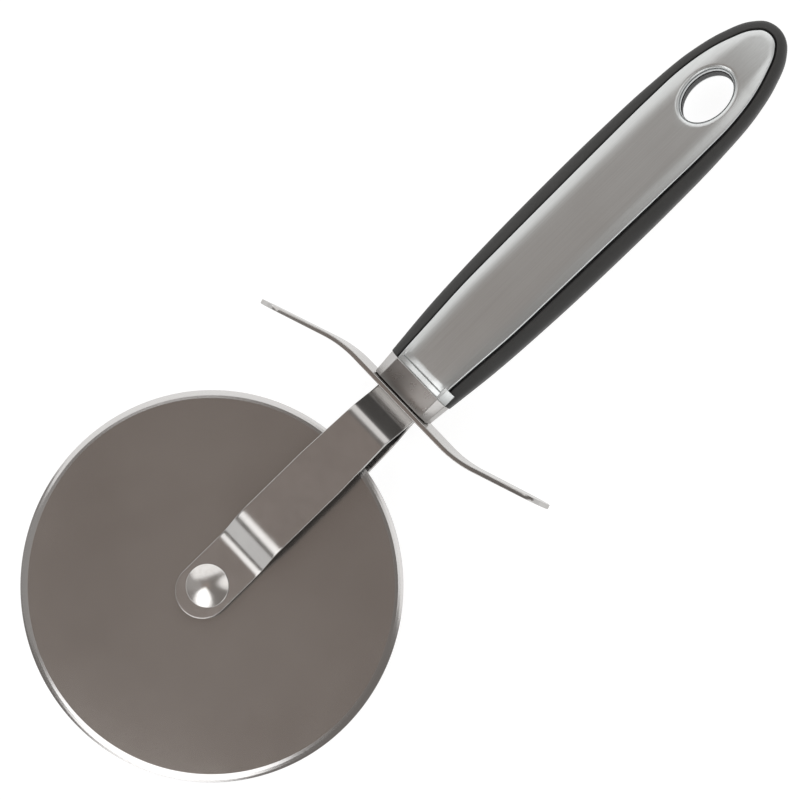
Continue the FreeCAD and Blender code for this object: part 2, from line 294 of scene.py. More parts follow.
def wheel_profile():
    """The disc's section, with the same bevel on both sides, as (radius, height) pairs."""
    side = [(bore_radius, wheel_half)]
    radius = wheel_radius - bevel_width
    height = wheel_half
    for width, slope in bevel_passes:
        side.append((radius, height))
        radius += width
        height -= width * math.tan(math.radians(slope))
    side.append((radius, height))
    return [(radius, -height) for radius, height in side] + side[::-1]


wheel = turned("cutting_disc", wheel_profile(), wheel_ease, True, blade_steel())
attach(wheel, "wheel")
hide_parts("cutting_wheel")


# Wheel bush and washers
# Natural nylon, turned from rod: the bush is pressed into the wheel and the washers centre it in the fork.
# They keep their solids and get a waxy finish with fine turning marks.
nylon_colour = (0.74, 0.72, 0.67, 1.0)
nylon_shade_colour = (0.66, 0.63, 0.57, 1.0)
nylon_glow = 0.08
nylon_glow_depth = (0.002, 0.002, 0.0015)
nylon_roughness = 0.42
nylon_mark_depth = 0.000004


def nylon():
    """Waxy natural nylon with soft clouds and fine turning marks."""
    constants = {"Subsurface Weight": nylon_glow, "Subsurface Radius": nylon_glow_depth}
    material, place = finish("turned_nylon", constants)
    cloud = place.noise(420.0, 3.0)
    marks = place.stretched((1.0, 1.0, 9000.0)).noise()
    feed(material, Base_Color=cloud.mix(nylon_colour, nylon_shade_colour),
         Roughness=nylon_roughness + cloud * 0.12, Normal=marks.bump(nylon_mark_depth))
    return material


def dressed(nodes, material):
    """Gives CAD solids that keep their shape a finish."""
    for name in nodes:
        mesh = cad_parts[name].data
        mesh.materials.clear()
        mesh.materials.append(material)


dressed(("wheel_bush", "front_washer", "rear_washer"), nylon())


# Axle rivet
# A two-part compression rivet of polished stainless: the front half's pin is pressed into the rear half's
# hollow shank, and both low domed heads clamp the tabs of the fork.
rivet_low, rivet_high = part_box("axle_rivet")
head_radius = (rivet_high.x - rivet_low.x) / 2
head_top = rivet_high.z - axle.z
head_rise = 0.0013
head_edge = 0.0005
head_seat = head_top - head_rise - head_edge
pin_radius = 0.0016
shank_radius = 0.0025
dome_steps = 26
dome_power = 1.62
dome_spacing = 1.3
rivet_ease = 0.00008
rivet_colour = (0.72, 0.71, 0.70, 1.0)
rivet_dull_colour = (0.64, 0.62, 0.60, 1.0)
rivet_roughness = 0.15
rivet_grain_depth = 0.0000012


def polished_steel():
    """Bright steel with a fine polishing haze, a few handling marks and dull patches."""
    material, place = finish("polished_steel", {"Metallic": 1.0})
    haze = place.noise(700.0, 3.0)
    grain = place.noise(16000.0)
    mark = place.stretched((900.0, 5200.0, 900.0)).noise()
    feed(material, Base_Color=haze.mix(rivet_colour, rivet_dull_colour),
         Roughness=rivet_roughness + haze * 0.10, Normal=(grain * 0.7 + mark * 0.3).bump(rivet_grain_depth))
    return material


def dome():
    """A head's outside from its rim up to the crown, a little pointed, as (radius, height) pairs."""
    shares = [(1 - step / dome_steps) ** dome_spacing for step in range(dome_steps + 1)]
    return [(head_radius * share, head_top - head_rise * share ** dome_power) for share in shares]


rim_edge = [(head_radius, head_seat), (head_radius, head_seat + head_edge)]
head_outside = rim_edge + dome()[1:]
front_head = [(0.0, -head_seat), (pin_radius, -head_seat), (pin_radius, head_seat)] + head_outside
rear_head = [(radius, -height) for radius, height in reversed(head_outside)]
rear_head += [(shank_radius, -head_seat), (shank_radius, head_seat), (pin_radius, head_seat),
              (pin_radius, -head_seat), (0.0, -head_seat)]
rivet_steel = polished_steel()
for name, profile, node in (("rivet_head_front", front_head, "axle_rivet"),
                            ("rivet_head_rear", rear_head, "axle_rivet_socket")):
    rivet = turned(name, profile, rivet_ease, False, rivet_steel)
    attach(rivet, "frame")
    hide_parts(node)


# Fork arms
# Two straps blanked from stainless strip and formed in a press: a round tab on the axle, a joggle out over
# the wheel, a long flat bow, a joggle in to the neck, and a tang that runs into the handle.
arm_low, arm_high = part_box("front_arm")
arm_thickness = 0.0015
arm_half = (arm_high.y - arm_low.y) / 2
neck_half = 0.0065
tang_half = 0.0045
tab_end = arm_low.x - axle.x
tang_end = arm_high.x - axle.x
tab_inner = head_seat - arm_thickness
bow_inner = arm_high.z - axle.z - arm_thickness
joggle_start = 0.0127
joggle_end = 0.0193
bow_taper_start = 0.0414
bow_taper_end = 0.0586
bow_end = 0.0578
neck_start = 0.0660
arm_reach = 0.0676
tab_bend_radius = 0.0070
crest_bend_radius = 0.0085
bow_bend_radius = 0.0040
neck_bend_radius = 0.0110
strip_edge = 0.00016
edge_steps = 4
hold_edges = 3
bend_cuts = 14
bend_hold = 0.0003
cut_tolerance = 0.000001
way_samples = 4000
nose_steps = 48
sharp_turn = math.radians(50.0)
strap_colour = (0.535, 0.525, 0.515, 1.0)
strap_stain_colour = (0.490, 0.480, 0.470, 1.0)
strap_edge_tint = (0.74, 0.73, 0.72, 1.0)
strap_roughness = 0.2
strap_grain_depth = 0.0000008
# painted shade: the near-black colour that darkens the arms' slope behind the bow and the ferrule's joint
# and one side
painted_shade_colour = (0.03, 0.028, 0.026, 1.0)
# painted shade on the arms' slope behind the bow: where it starts, ends and fades, and how dark it is
ramp_shade_start = 0.0600
ramp_shade_end = 0.0641
ramp_shade_fade = 0.0008
ramp_shade_strength = 0.72


def strap_steel(name, bright, dull, roughness, painted_shade=None):
    """Tumbled strip steel: a satin with soft clouds, faint drawing lines and, where given, painted shade.
    """
    material, place = finish(name, {"Metallic": 1.0, "Specular Tint": strap_edge_tint})
    cloud = place.noise(70.0)
    stain = place.noise(420.0, 3.0)
    grain = place.noise(7000.0)
    lines = place.stretched((120.0, 4000.0, 4000.0)).noise()
    colour = clean_patches(cloud, stain, 0.3).mix(dull, bright)
    # where given, painted shade darkens the colour towards near-black
    if painted_shade:
        colour = painted_shade(place).mix(colour, painted_shade_colour)
    feed(material, Base_Color=colour, Roughness=roughness + (stain - 0.5) * 0.06,
         Normal=(grain * 0.6 + lines * 0.4).bump(strap_grain_depth))
    return material


class FormedLine:
    """The middle line of a bent strip: straight runs between corners, with an arc at each bend."""

    def __init__(self, corners, radii):
        corners = [Vector(corner) for corner in corners]
        ways = [after - before for before, after in zip(corners, corners[1:])]
        headings = [math.atan2(way.y, way.x) for way in ways]
        turns = [after - before for before, after in zip(headings, headings[1:])]
        trims = [radius * math.tan(abs(turn) / 2) for radius, turn in zip(radii, turns)]
        self.start = corners[0]
        self.heading = headings[0]
        self.pieces = []
        for way, lost, next_lost in zip(ways, [0.0] + trims, trims + [0.0]):
            self.pieces.append((way.length - lost - next_lost, 0.0))
        for index, (radius, turn) in enumerate(zip(radii, turns)):
            self.pieces.insert(2 * index + 1, (radius * abs(turn), math.copysign(1 / radius, turn)))
        self.length = sum(length for length, curl in self.pieces)

    def at(self, way):
        """The place and heading a given way along the line, which runs on past its ends."""
        place, heading = self.start.copy(), self.heading
        for index, (length, curl) in enumerate(self.pieces):
            step = way if index + 1 == len(self.pieces) else min(way, length)
            if curl:
                after = heading + step * curl
                chord = Vector((math.sin(after) - math.sin(heading), math.cos(heading) - math.cos(after)))
                place += chord / curl
                heading = after
            else:
                place += Vector((math.cos(heading), math.sin(heading))) * step
            way -= length
            if way <= 0:
                break
        return place, heading

    def beside(self, way, rise):
        """The place a given way along the line and a rise off its left side."""
        place, heading = self.at(way)
        return place + Vector((-math.sin(heading), math.cos(heading))) * rise

    def cuts(self):
        """Where the strip needs cross lines: through each bend, with one just before and after it."""
        ways, done = [], 0.0
        for length, curl in self.pieces:
            if curl:
                ways += [done - bend_hold, done + length + bend_hold]
                ways += [done + length * step / bend_cuts for step in range(bend_cuts + 1)]
            done += length
        return ways

    def way_to(self, across):
        """How far along the line a place lies, given its first coordinate."""
        ways = np.linspace(0.0, self.length, way_samples)
        firsts = np.array([self.at(way)[0].x for way in ways])
        order = np.argsort(firsts)
        return float(np.interp(across, firsts[order], ways[order]))


def inset(outline, depth):
    """An anticlockwise outline moved inwards by a depth, with mitred corners."""
    moved = []
    for index, here in enumerate(outline):
        before = (here - outline[index - 1]).normalized()
        after = (outline[(index + 1) % len(outline)] - here).normalized()
        inward = Vector((-before.y, before.x)) + Vector((-after.y, after.x))
        moved.append(here + inward * depth / (1 + before.dot(after)))
    return moved


def lofted(name, rings, closed):
    """A mesh through rings of equal count, joined end to end or capped at both ends."""
    count = len(rings[0])
    points = [place for ring in rings for place in ring]
    faces = []
    for index in range(len(rings) if closed else len(rings) - 1):
        here = index * count
        after = (index + 1) % len(rings) * count
        for step in range(count):
            turn = (step + 1) % count
            faces.append((here + step, here + turn, after + turn, after + step))
    if not closed:
        faces.append(tuple(range(count))[::-1])
        faces.append(tuple(range(len(points) - count, len(points))))
    mesh = bpy.data.meshes.new(name)
    mesh.from_pydata(points, [], faces)
    return mesh


def rounded_levels(thickness, edge):
    """(inset, height) of the loops round a strip whose edges are rounded on both faces."""
    quarter = [math.pi / 2 * step / edge_steps for step in range(edge_steps + 1)]
    lower = [(edge * (1 - math.sin(turn)), edge * (1 - math.cos(turn))) for turn in quarter]
    lower.insert(0, (edge * hold_edges, 0.0))
    return lower + [(depth, thickness - height) for depth, height in reversed(lower)]


def blank(name, outline, thickness, edge, cuts):
    """A flat strip with rounded edges, cut across where it will be bent. The outline is anticlockwise."""
    rings = []
    for depth, height in rounded_levels(thickness, edge):
        rings.append([(place.x, place.y, height) for place in inset(outline, depth)])
    mesh = lofted(name, rings, False)
    work = bmesh.new()
    work.from_mesh(mesh)
    for way in cuts:
        parts = work.verts[:] + work.edges[:] + work.faces[:]
        bmesh.ops.bisect_plane(work, geom=parts, plane_co=(way, 0, 0), plane_no=(1, 0, 0),
                               dist=cut_tolerance)
    work.to_mesh(mesh)
    work.free()
    return mesh


def stand(name, mesh, material):
    """Puts a finished mesh in the scene, faces outwards, smooth, with sharp edges kept sharp."""
    work = bmesh.new()
    work.from_mesh(mesh)
    bmesh.ops.remove_doubles(work, verts=work.verts, dist=weld_distance)
    bmesh.ops.recalc_face_normals(work, faces=work.faces)
    for edge in work.edges:
        edge.smooth = len(edge.link_faces) == 2 and edge.calc_face_angle() < sharp_turn
    for face in work.faces:
        face.smooth = True
    work.to_mesh(mesh)
    work.free()
    mesh.materials.clear()
    mesh.materials.append(material)
    piece = bpy.data.objects.new(name, mesh)
    bpy.context.scene.collection.objects.link(piece)
    return piece


def arm_line():
    """The strap's middle line seen from the side, as (along, up) places from the tab to the tang's end."""
    inner = [(tab_end, tab_inner), (joggle_start, tab_inner), (joggle_end, bow_inner),
             (bow_end, bow_inner), (neck_start, 0.0), (tang_end, 0.0)]
    middle = []
    for index, corner in enumerate(inner):
        here = Vector(corner)
        before = here - Vector(inner[index - 1]) if index else Vector(inner[1]) - here
        after = Vector(inner[index + 1]) - here if index + 1 < len(inner) else before
        sides = [Vector((-way.y, way.x)).normalized() for way in (before, after)]
        middle.append(here + (sides[0] + sides[1]) * arm_thickness / 2 / (1 + sides[0].dot(sides[1])))
    radii = (tab_bend_radius, crest_bend_radius, bow_bend_radius, neck_bend_radius)
    return FormedLine(middle, [radius + arm_thickness / 2 for radius in radii])


def mirrored(places):
    """The same places on the other side of the middle line."""
    return [Vector((place.x, -place.y)) for place in places]


def arm_outline(line):
    """The strap laid flat: a round nose, a slight taper, square shoulders and the tang."""
    nose = tab_end + arm_half
    side = [(bow_taper_start, arm_half), (bow_taper_end, neck_half), (arm_reach, neck_half),
            (arm_reach, tang_half), (tang_end, tang_half)]
    upper = [Vector((line.way_to(place), half)) for place, half in side]
    arc = []
    for step in range(nose_steps + 1):
        turn = math.pi * (0.5 + step / nose_steps)
        arc.append(Vector((nose + arm_half * math.cos(turn) - tab_end, arm_half * math.sin(turn))))
    return mirrored(upper) + upper[::-1] + arc


def arm_mesh(name, side):
    """The strap cut flat, then bent along its line, on one side of the wheel."""
    line = arm_line()
    mesh = blank(name, arm_outline(line), arm_thickness, strip_edge, line.cuts())
    for vertex in mesh.vertices:
        bent = line.beside(vertex.co.x, vertex.co.z - arm_thickness / 2)
        vertex.co = axle + Vector((bent.x, vertex.co.y, side * bent.y))
    return mesh


def bend_painted_shade(place):
    """Painted shade: a darker band on the slope behind the bow, standing in for the dark surroundings it
    mirrors.
    """
    x = place.axes("X")[0]
    start, end = axle.x + ramp_shade_start, axle.x + ramp_shade_end
    return x.rise(start - ramp_shade_fade, start) * (1 - x.rise(end - ramp_shade_fade, end)) * ramp_shade_strength


# the arms' colour carries painted shade on the slope behind the bow
arm_steel = strap_steel("strap_steel", strap_colour, strap_stain_colour, strap_roughness, bend_painted_shade)
for name, side, node in (("fork_arm_front", 1, "front_arm"), ("fork_arm_rear", -1, "rear_arm")):
    arm = stand(name, arm_mesh(name, side), arm_steel)
    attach(arm, "frame")
    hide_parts(node)


# Finger guard
# One stainless strip with round tips, slotted over the tangs against the neck of the fork. One wing is
# bent towards the wheel and the other towards the handle.
guard_low, guard_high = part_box("finger_guard")
guard_half = (guard_high.z - guard_low.z) / 2
guard_middle = (guard_low.y + guard_high.y) / 2
guard_reach = (guard_high.y - guard_low.y) / 2
guard_thickness = 0.0012
guard_tip_half = 0.008
guard_straight = 0.0155
guard_bend_at = 0.0207
guard_bend_angle = math.radians(19.2)
guard_bend_radius = 0.030
tip_turn = math.radians(78.0)
tip_steps = 40
taper_ease = 0.004
taper_steps = 12
guard_roughness = 0.16


def guard_line():
    """The strip seen from above, as (across, along) places from one tip to the other."""
    lean = (guard_reach - guard_bend_at) * math.tan(guard_bend_angle)
    middle = arm_reach + guard_thickness / 2
    corners = [(-guard_reach, middle + lean), (-guard_bend_at, middle), (guard_bend_at, middle),
               (guard_reach, middle - lean)]
    return FormedLine(corners, [guard_bend_radius + guard_thickness / 2] * 2)


def guard_outline(line):
    """The strip laid flat: straight in the middle, tapered, with round tips."""
    centre = line.way_to(guard_reach - guard_tip_half)
    reach = line.length - centre
    arc = []
    for step in range(tip_steps):
        turn = tip_turn * (1 - step / tip_steps)
        arc.append(Vector((centre + reach * math.cos(turn), guard_tip_half * math.sin(turn))))
    corner = Vector((line.way_to(guard_straight), guard_half))
    before = corner - Vector((taper_ease, 0.0))
    after = corner + (arc[0] - corner).normalized() * taper_ease
    upper = []
    for step in range(taper_steps + 1):
        share = step / taper_steps
        upper.append(before.lerp(corner, share).lerp(corner.lerp(after, share), share))
    quarter = upper + arc
    tip = [Vector((line.length, 0.0))]
    right = quarter + tip + mirrored(reversed(quarter))
    left = [Vector((line.length - place.x, -place.y)) for place in right]
    return (right + left)[::-1]


def guard_mesh():
    """The strip cut flat, then bent along its line."""
    line = guard_line()
    mesh = blank("finger_guard_strip", guard_outline(line), guard_thickness, strip_edge, line.cuts())
    for vertex in mesh.vertices:
        bent = line.beside(vertex.co.x, vertex.co.z - guard_thickness / 2)
        vertex.co = axle + Vector((bent.y, guard_middle + bent.x, vertex.co.y))
    return mesh


guard_steel = strap_steel("guard_steel", strap_colour, strap_stain_colour, guard_roughness)
guard = stand("finger_guard_strip", guard_mesh(), guard_steel)
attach(guard, "frame")
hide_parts("finger_guard")


# Ferrule
# A short stainless collar between guard and handle, eight-sided with an arched top and bottom, tumbled
# like the arms. It is a little narrower and lower at the guard.
# Its joint at the guard and one side of the collar carry painted shade.
ferrule_low, ferrule_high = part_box("ferrule")
ferrule_front = ferrule_low.x - axle.x
ferrule_back = ferrule_high.x - axle.x
ferrule_wall = (ferrule_high.y - ferrule_low.y) / 2
ferrule_front_wall = 0.0092
ferrule_shoulder = 0.0073
ferrule_facet_slope = math.tan(math.radians(36.0))
ferrule_crown = (ferrule_high.z - ferrule_low.z) / 2
ferrule_corner = 0.0005
ferrule_rise = 0.0007
ferrule_arch = 0.0003
ferrule_stations = 10
ferrule_colour = (0.58, 0.57, 0.56, 1.0)
ferrule_stain_colour = (0.50, 0.49, 0.48, 1.0)
ferrule_roughness = 0.28
# painted shade over one side of the collar, weaker away from the guard: its span across, reach, edge, fade
# and darkness
shade_side_start = -0.0050
shade_side_full = 0.0030
shade_side_end = 0.0072
shade_side_reach = 0.0040
shade_side_edge = 0.0003
shade_side_fade = 0.5
shade_side_strength = 0.52
joint_width = 0.00022
joint_depth = 0.00032
corner_steps = 5
crown_steps = 16
slot_clearance = 0.0001


def rounded_polygon(corners, radius):
    """An outline with each corner turned by an arc."""
    points = []
    for index, here in enumerate(corners):
        back = (corners[index - 1] - here).normalized()
        on = (corners[(index + 1) % len(corners)] - here).normalized()
        half = back.angle(on) / 2
        start = here + back * radius / math.tan(half)
        end = here + on * radius / math.tan(half)
        centre = here + (back + on).normalized() * radius / math.sin(half)
        for step in range(corner_steps + 1):
            share = step / corner_steps
            spoke = (start.lerp(end, share) - centre).normalized()
            points.append(centre + spoke * radius)
    return points


def with_crown_points(outline):
    """Adds points along the top and bottom, which are otherwise one long edge each."""
    points = []
    for index, here in enumerate(outline):
        after = outline[(index + 1) % len(outline)]
        points.append(here)
        if abs(after.x - here.x) > ferrule_shoulder:
            points += [here.lerp(after, step / crown_steps) for step in range(1, crown_steps)]
    return points


def arched(place, shoulder):
    """Lifts the top and bottom of the collar to a low arch between its shoulders."""
    if abs(place.y) < shoulder - ferrule_corner / 2:
        return place
    lift = ferrule_arch * max(0.0, 1 - (place.x / ferrule_shoulder) ** 2)
    return Vector((place.x, place.y + math.copysign(lift, place.y)))


def ferrule_outline(share):
    """The collar seen along the handle, a share of the way from guard to plate, as (y, z) places."""
    wall = ferrule_front_wall + (ferrule_wall - ferrule_front_wall) * share
    shoulder = ferrule_crown - ferrule_arch - ferrule_rise * (1 - share)
    wall_top = shoulder - ferrule_facet_slope * (wall - ferrule_shoulder)
    right = [Vector((wall, -wall_top)), Vector((wall, wall_top)), Vector((ferrule_shoulder, shoulder))]
    left = [Vector((-place.x, place.y)) for place in reversed(right)]
    below = [Vector((side * ferrule_shoulder, -shoulder)) for side in (-1, 1)]
    rounded = rounded_polygon(right + left + below, ferrule_corner)
    return [arched(place, shoulder) for place in with_crown_points(rounded)]


def ferrule_mesh():
    """The collar from a narrow joint at the guard to its square end, and back along the tangs' slot."""
    length = ferrule_back - ferrule_front
    lip = joint_width + ferrule_corner / 2
    stations = [(0.0, joint_depth), (joint_width, joint_depth), (joint_width, joint_depth / 3),
                (joint_width + strip_edge / 2, joint_depth / 8), (lip, 0.0)]
    for step in range(1, ferrule_stations):
        stations.append((lip + (length - lip - 2 * strip_edge) * step / (ferrule_stations - 1), 0.0))
    stations += [(length - strip_edge, 0.0), (length, strip_edge), (length, 2 * strip_edge)]
    rings = []
    for way, depth in stations:
        outline = inset(ferrule_outline(way / length), depth)
        rings.append([axle + Vector((ferrule_front + way, *place)) for place in outline])
    slot_half = tang_half + slot_clearance
    slot_height = arm_thickness + slot_clearance
    for station in (ferrule_back, ferrule_front):
        ring = []
        for place in ferrule_outline(1.0):
            scale = max(abs(place.x) / slot_half, abs(place.y) / slot_height)
            ring.append(axle + Vector((station, place.x / scale, place.y / scale)))
        rings.append(ring)
    return lofted("ferrule_collar", rings, True)


def collar_painted_shade(place):
    """Painted shade: 1 in the narrow joint at the guard, shade with some dirt, and a darker wash over one
    side of the collar, weaker away from the guard.
    """
    x, y = place.axes("X", "Y")
    edge = axle.x + ferrule_front + joint_width
    joint = 1 - x.rise(edge, edge + joint_width / 3)
    side = y.rise(shade_side_start, shade_side_full) * (1 - y.rise(shade_side_end, shade_side_end + shade_side_edge))
    weaker = x.rise(edge + shade_side_reach / 2, edge + 2 * shade_side_reach) * shade_side_fade
    return joint.maths("MAXIMUM", joint, side * (1 - weaker) * shade_side_strength)


# the collar's colour carries painted shade in its joint at the guard and over one side
ferrule_steel = strap_steel("ferrule_steel", ferrule_colour, ferrule_stain_colour, ferrule_roughness,
                            collar_painted_shade)
ferrule = stand("ferrule_collar", ferrule_mesh(), ferrule_steel)
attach(ferrule, "frame")
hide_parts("ferrule")


# Handle core and tang pins
# The moulded carrier between the plates, and the two drawn pins that lock the tangs in it. The pins keep
# their solid. The core, which shows only beside the plates and in the hole, lies a little lower under them.
core_height_share = 0.86
core_colour = (0.036, 0.036, 0.037, 1.0)
core_worn_colour = (0.060, 0.060, 0.060, 1.0)
core_shine = 0.4
core_roughness = 0.52
core_grain_depth = 0.00004
seam_levels = (-0.0016, 0.0, 0.0016)
seam_width = 0.00012
pin_colour = (0.55, 0.55, 0.55, 1.0)
pin_dull_colour = (0.42, 0.42, 0.43, 1.0)
pin_roughness = 0.3
pin_line_depth = 0.000003


def core_plastic():
    """Matte moulded plastic with a spark grain and the fine lines of its mould halves."""
    material, place = finish("core_plastic", {"Specular IOR Level": core_shine})
    z = place.axes("Z")[0]
    grain = place.noise(5200.0, 3.0)
    cloud = place.noise(260.0)
    seams = 0.0
    for level in seam_levels:
        away = z.maths("ABSOLUTE", z - (axle.z + level))
        seams = (1 - away.rise(seam_width / 2, seam_width)) + seams
    wear = cloud.rise(0.4, 0.7) * (1 - seams)
    feed(material, Base_Color=wear.mix(core_colour, core_worn_colour),
         Roughness=core_roughness + grain * 0.12, Normal=(grain * 0.4 - seams).bump(core_grain_depth))
    return material


def drawn_steel():
    """Plain steel with the lines of the drawing die along it."""
    material, place = finish("drawn_steel", {"Metallic": 1.0})
    lines = place.stretched((5000.0, 5000.0, 120.0)).noise()
    feed(material, Base_Color=lines.mix(pin_colour, pin_dull_colour),
         Roughness=pin_roughness + lines * 0.12, Normal=lines.bump(pin_line_depth))
    return material


core_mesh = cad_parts["handle_core"].data.copy()
for vertex in core_mesh.vertices:
    vertex.co.z = axle.z + (vertex.co.z - axle.z) * core_height_share
core = stand("handle_core_body", core_mesh, core_plastic())
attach(core, "frame")
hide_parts("handle_core")
dressed(("tang_pins",), drawn_steel())


# Grip rim
# A soft charcoal band moulded round the handle's edge, open at the ferrule. Its outer edges are rounded
# and a narrow groove parts it from the steel plates.
rim_low, rim_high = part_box("grip_rim")
handle_start = ferrule_back
handle_length = rim_high.x - axle.x - handle_start
rim_half = (rim_high.z - rim_low.z) / 2
rim_width = rim_high.y - rim_low.y
rim_round = 0.0036
rim_side_band = 0.0028
rim_tip_band = 0.0020
rim_tip_radius = 0.0070
rim_stations = (0.0, 0.118, 0.261, 0.436, 0.595, 0.738, 0.849, 0.913)
rim_shares = (0.770, 0.881, 0.955, 0.995, 0.996, 0.955, 0.854, 0.709)
plate_stations = (0.0, 0.080, 0.202, 0.324, 0.446, 0.609, 0.731, 0.828, 0.893, 0.934)
plate_shares = (0.770, 0.826, 0.918, 0.946, 0.967, 0.993, 1.0, 0.957, 0.823, 0.664)
tip_turns = (60.0, 30.0)
groove_width = 0.0009
rim_gap = 0.0005
rim_steps = 520
rim_section_steps = 14
span_steps = 24
rubber_colour = (0.038, 0.038, 0.037, 1.0)
rubber_worn_colour = (0.050, 0.049, 0.048, 1.0)
rubber_shine = 0.45
rubber_roughness = 0.5
rubber_grain_depth = 0.000016


def soft_rubber():
    """Charcoal soft plastic with a fine moulded grain, a little shine and lighter rubbed patches."""
    material, place = finish("rim_rubber", {"Specular IOR Level": rubber_shine})
    grain = place.noise(4200.0, 3.0)
    cloud = place.noise(110.0, 3.0)
    speck = place.noise(1500.0)
    worn = cloud.rise(0.4, 0.75) * 0.6 + speck.rise(0.55, 0.75) * 0.4
    feed(material, Base_Color=worn.mix(rubber_colour, rubber_worn_colour),
         Roughness=rubber_roughness + grain * 0.16, Normal=grain.bump(rubber_grain_depth))
    return material


def smooth_through(points):
    """A smooth line through points, as places close together."""
    ways = [0.0]
    for before, after in zip(points, points[1:]):
        ways.append(ways[-1] + (after - before).length)
    slopes = []
    last = len(points) - 1
    for index in range(len(points)):
        low, high = max(index - 1, 0), min(index + 1, last)
        slope = (points[high] - points[low]) / (ways[high] - ways[low])
        if 0 < index < last:
            before = (points[index] - points[low]) / (ways[index] - ways[low])
            after = (points[high] - points[index]) / (ways[high] - ways[index])
            share = (ways[index] - ways[low]) / (ways[high] - ways[low])
            slope = before.lerp(after, share)
        slopes.append(slope)
    line = []
    for index in range(last):
        span = ways[index + 1] - ways[index]
        for step in range(span_steps + (index + 1 == last)):
            share = step / span_steps
            square, cube = share ** 2, share ** 3
            line.append(points[index] * (2 * cube - 3 * square + 1)
                        + points[index + 1] * (3 * square - 2 * cube)
                        + slopes[index] * span * (cube - 2 * square + share)
                        + slopes[index + 1] * span * (cube - square))
    return line


def handle_side(length, width, tip_radius, stations, shares, growth):
    """A handle outline from the ferrule round the tip and back: right side, tip, left side."""
    left = []
    for station, share in zip(stations, shares):
        left.append(Vector((handle_start + length * station, width / 2 * share + growth)))
    centre = handle_start + length - tip_radius
    for turn in tip_turns:
        spoke = Vector((math.cos(math.radians(turn)), math.sin(math.radians(turn))))
        left.append(Vector((centre, 0.0)) + spoke * (tip_radius + growth))
    tip = Vector((centre + tip_radius + growth, 0.0))
    return smooth_through(mirrored(left) + [tip] + left[::-1])


def plate_side(growth):
    """The steel plate's outline inside the band and its groove, grown by a width."""
    length = handle_length - rim_tip_band - groove_width
    width = rim_width - 2 * (rim_side_band + groove_width)
    tip_radius = rim_tip_radius - rim_tip_band - groove_width
    return handle_side(length, width, tip_radius, plate_stations, plate_shares, growth)


def path_curve(name, places):
    """A plain line for a node tree to follow."""
    data = bpy.data.curves.new(name, "CURVE")
    data.dimensions = "3D"
    spline = data.splines.new("POLY")
    spline.points.add(len(places) - 1)
    for point, place in zip(spline.points, places):
        point.co = (axle.x + place.x, axle.y + place.y, axle.z, 1.0)
    return bpy.data.objects.new(name, data)


def rim_tree():
    """A band between two lines: its section gives the share of the way in, and which face it is on."""
    tree, given = node_group("rim_band", {"Section": "Geometry", "Outer": "Object", "Inner": "Object",
                                          "Steps": "Int", "Half Thickness": "Float", "Rounding": "Float",
                                          "Material": "Material"})
    grid, share, (inward, face) = section_grid(given, given["Steps"])
    sides = []
    for label in ("Outer", "Inner"):
        line = grid.node("GeometryNodeObjectInfo", {"Object": given[label]}, "Geometry")
        sides.append(line.node("GeometryNodeSampleCurve", {"Curves": line, "Factor": share}, "Position"))
    outer, inner = sides
    across = inner.vector("SUBTRACT", outer)
    rounding = given["Rounding"]
    left_over = rounding - inward * across.vector("LENGTH", output="Value")
    arc = rounding * rounding - left_over * left_over
    height = face * (given["Half Thickness"] - (rounding - arc.maths("SQRT", arc)))
    lift = height.node("ShaderNodeCombineXYZ", {2: height})
    place = across.vector("MULTIPLY_ADD", inward, outer).vector("ADD", lift)
    mesh = grid.node("GeometryNodeSetPosition", {"Geometry": grid, "Position": place})
    group_end(tree, mesh, given["Material"])
    return tree


def rim_section():
    """Points across the band, from the outer wall over the top to the inner wall, and below."""
    shares = [(step / rim_section_steps) ** 2 for step in range(rim_section_steps + 1)]
    upper = [(share, 0.0, 1.0) for share in shares]
    lower = [(share, 0.0, -1.0) for share in reversed(shares)]
    return upper + lower + upper[:1]


def close_ends(piece):
    """Closes the two open ends of a swept band with a flat face each."""
    work = bmesh.new()
    work.from_mesh(piece.data)
    ends = [edge for edge in work.edges if edge.is_boundary]
    bmesh.ops.holes_fill(work, edges=ends)
    for edge in ends:
        edge.smooth = False
    bmesh.ops.recalc_face_normals(work, faces=work.faces)
    work.to_mesh(piece.data)
    work.free()


rim_side = handle_side(handle_length, rim_width, rim_tip_radius, rim_stations, rim_shares, 0.0)
rim_paths = [path_curve("rim_outer", rim_side), path_curve("rim_inner", plate_side(rim_gap))]
rim_values = {"Outer": rim_paths[0], "Inner": rim_paths[1], "Steps": rim_steps, "Half Thickness": rim_half,
              "Rounding": rim_round, "Material": soft_rubber()}
grip = grown("grip_rim_band", rim_tree(), rim_section(), rim_values)
close_ends(grip)
for path in rim_paths:
    bpy.data.objects.remove(path)
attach(grip, "frame")
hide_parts("grip_rim")


# Handle plates
# Pressed stainless shells, brushed along the handle: crowned, with a turned-down skirt, a drawn collar at
# the hang hole and a step at the ferrule. A short ear on one side continues the ferrule's shoulder.
plate_skin = 0.0008
plate_edge = 0.00028
plate_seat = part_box("front_plate")[0].z - axle.z
plate_end_half = (rim_width / 2 - rim_side_band - groove_width) * plate_shares[0]
crown_top = 0.0072
crown_fall = 0.00075
crown_band = 0.0052
crown_power = 2.5
crown_tip_share = 0.38
crown_sweep = 2.660
crown_centre = handle_start + 0.050
roll_start = handle_start + 0.1085
roll_radius = 0.105
roll_length = 0.010
step_ledge_drop = 0.00155
step_crease_drop = 0.00106
step_crease_at = 0.00165
step_crease_half = 0.00016
step_crease_depth = 0.00026
step_top_at = 0.0029
step_ease = 0.0003
step_flattening = 0.35
step_run_out = 0.0002
step_run_length = 0.004
hole_centre = handle_start + handle_length - 0.0247
hole_half_length = 0.0077
hole_half_width = 0.0053
hole_lip = 0.0014
side_inset = 0.0022
end_inset = 0.0054
side_points = 150
end_points = 30
